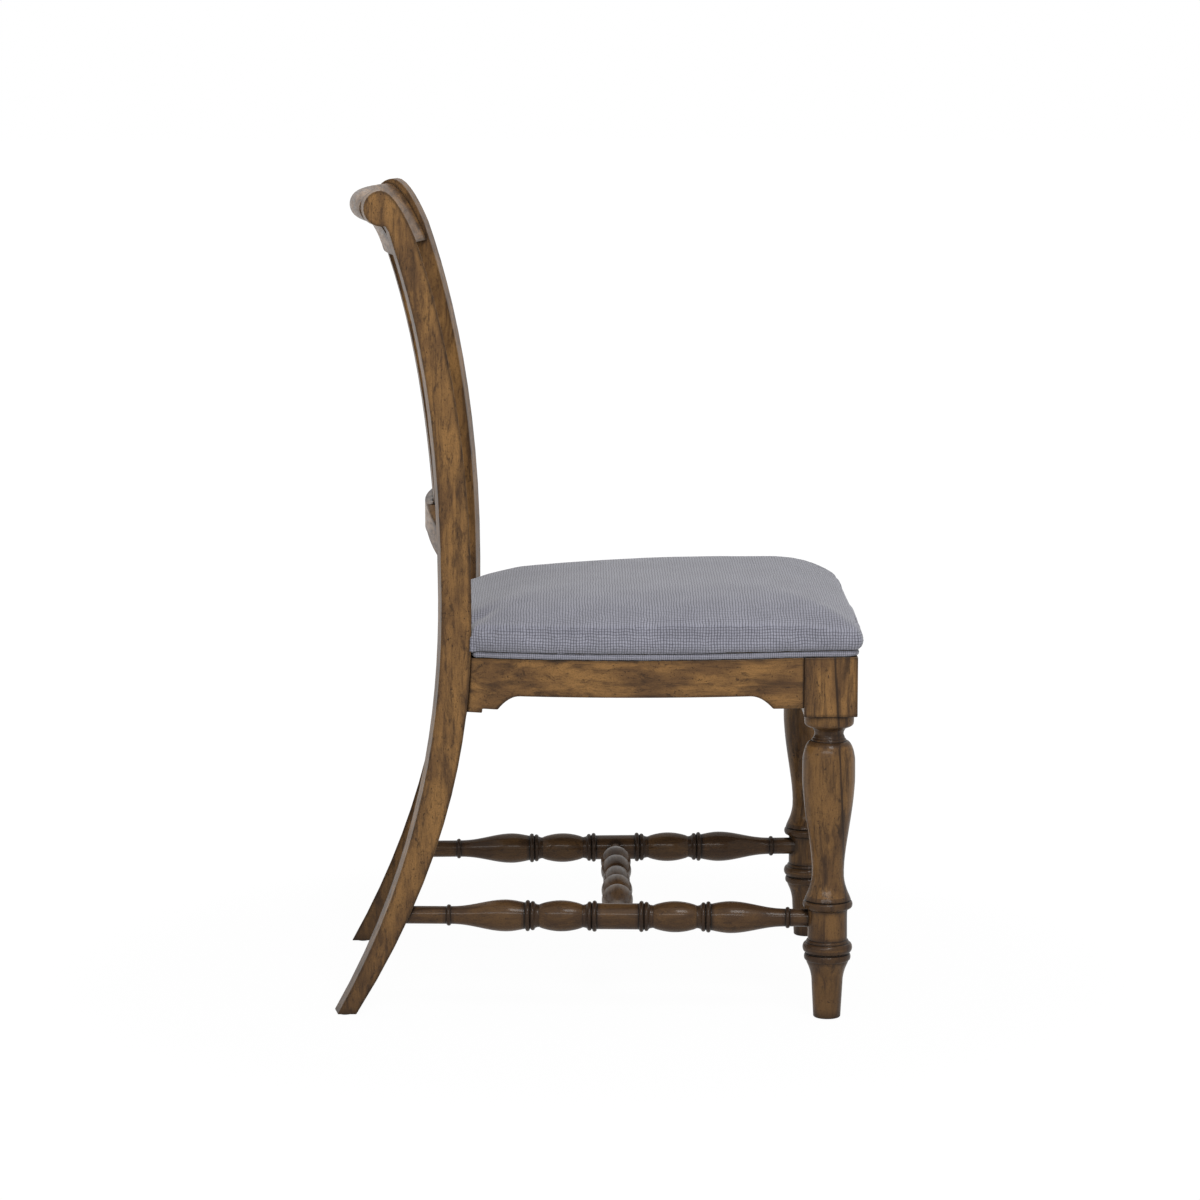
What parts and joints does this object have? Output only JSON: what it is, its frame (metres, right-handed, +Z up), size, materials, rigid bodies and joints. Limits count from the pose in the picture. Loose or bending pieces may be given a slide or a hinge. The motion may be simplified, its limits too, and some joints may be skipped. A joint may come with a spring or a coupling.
{
  "type": "dining chair",
  "caption": "Armless dining chair with an upholstered seat, curved rear legs, a slatted back with a rolled crest, turned front legs and turned H stretchers.",
  "frame": {"origin": "on the floor, under the centre of the whole chair's box", "axes": "+Z up, +X to the sitter's left, +Y to the back of the chair; the sitter faces -Y"},
  "size_m": [0.5274, 0.6407, 1.0015],
  "materials": {
    "frame_wood": "satin stained hardwood with dark glaze",
    "stretcher_wood": "satin stained hardwood, darker glaze",
    "inner_wood": "raw hardwood",
    "plywood": "raw plywood",
    "foam": "matt upholstery foam",
    "seat_fabric": "woven, linen-like, blue-grey",
    "welt_fabric": "woven, linen-like, blue-grey",
    "dust_fabric": "matt non-woven",
    "screw_steel": "zinc plated",
    "glide_plastic": "matt"
  },
  "bodies": {
    "root": {"front_leg_right": "frame_wood", "front_leg_left": "frame_wood", "rear_leg_right": "frame_wood", "rear_leg_left": "frame_wood", "crest_rail": "frame_wood", "lower_back_rail": "frame_wood", "back_slat_1": "frame_wood", "back_slat_2": "frame_wood", "back_slat_3": "frame_wood", "back_slat_4": "frame_wood", "back_slat_5": "frame_wood", "seat_rail_front": "frame_wood", "seat_rail_rear": "frame_wood", "seat_rail_right": "frame_wood", "seat_rail_left": "frame_wood", "side_stretcher_right": "stretcher_wood", "side_stretcher_left": "stretcher_wood", "cross_stretcher": "stretcher_wood", "corner_block_front_right": "inner_wood", "corner_block_front_left": "inner_wood", "corner_block_rear_right": "inner_wood", "corner_block_rear_left": "inner_wood", "seat_board": "plywood", "seat_foam": "foam", "seat_cover": "seat_fabric", "seat_welt": "welt_fabric", "dust_cover": "dust_fabric", "rail_dowels": "inner_wood", "back_dowels": "inner_wood", "block_screws": "screw_steel", "seat_screws": "screw_steel", "front_glides": "glide_plastic", "rear_glides": "glide_plastic"}
  },
  "joints": []
}
